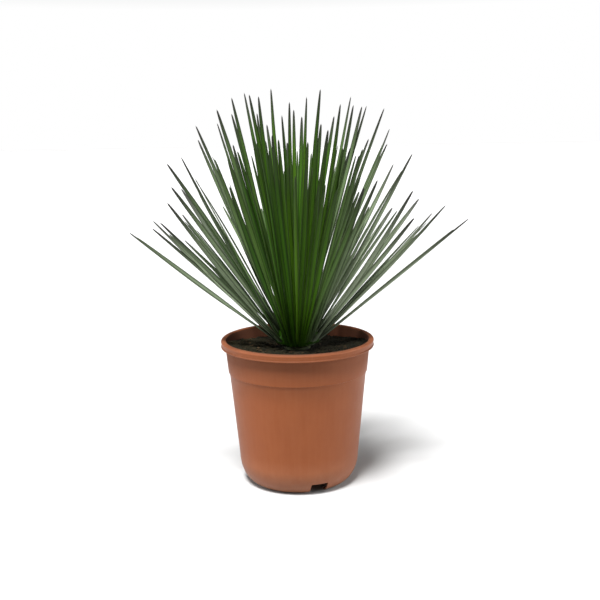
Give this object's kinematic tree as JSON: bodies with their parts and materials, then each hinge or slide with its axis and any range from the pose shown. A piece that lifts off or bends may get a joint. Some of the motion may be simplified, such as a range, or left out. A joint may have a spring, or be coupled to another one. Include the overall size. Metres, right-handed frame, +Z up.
{
  "type": "potted beaked yucca",
  "caption": "Young unbranched beaked yucca: a round head of stiff narrow pointed leaves on a very short stem, planted in a tapered round plastic nursery pot with a rolled rim.",
  "frame": {"origin": "on the ground under the middle of the pot, on the pot's axis", "axes": "+Z up along the pot's axis; -Y towards the side the plant is looked at from; +X to that side's right"},
  "size_m": [0.4059, 0.3358, 0.4848],
  "materials": {
    "terracotta_plastic": "satin",
    "potting_mix": "matte",
    "dry_leaf_bases": "matte",
    "leaf": "satin"
  },
  "bodies": {
    "root": {"pot": "terracotta_plastic", "soil": "potting_mix", "stem": "dry_leaf_bases", "leaves": "leaf"}
  },
  "joints": []
}
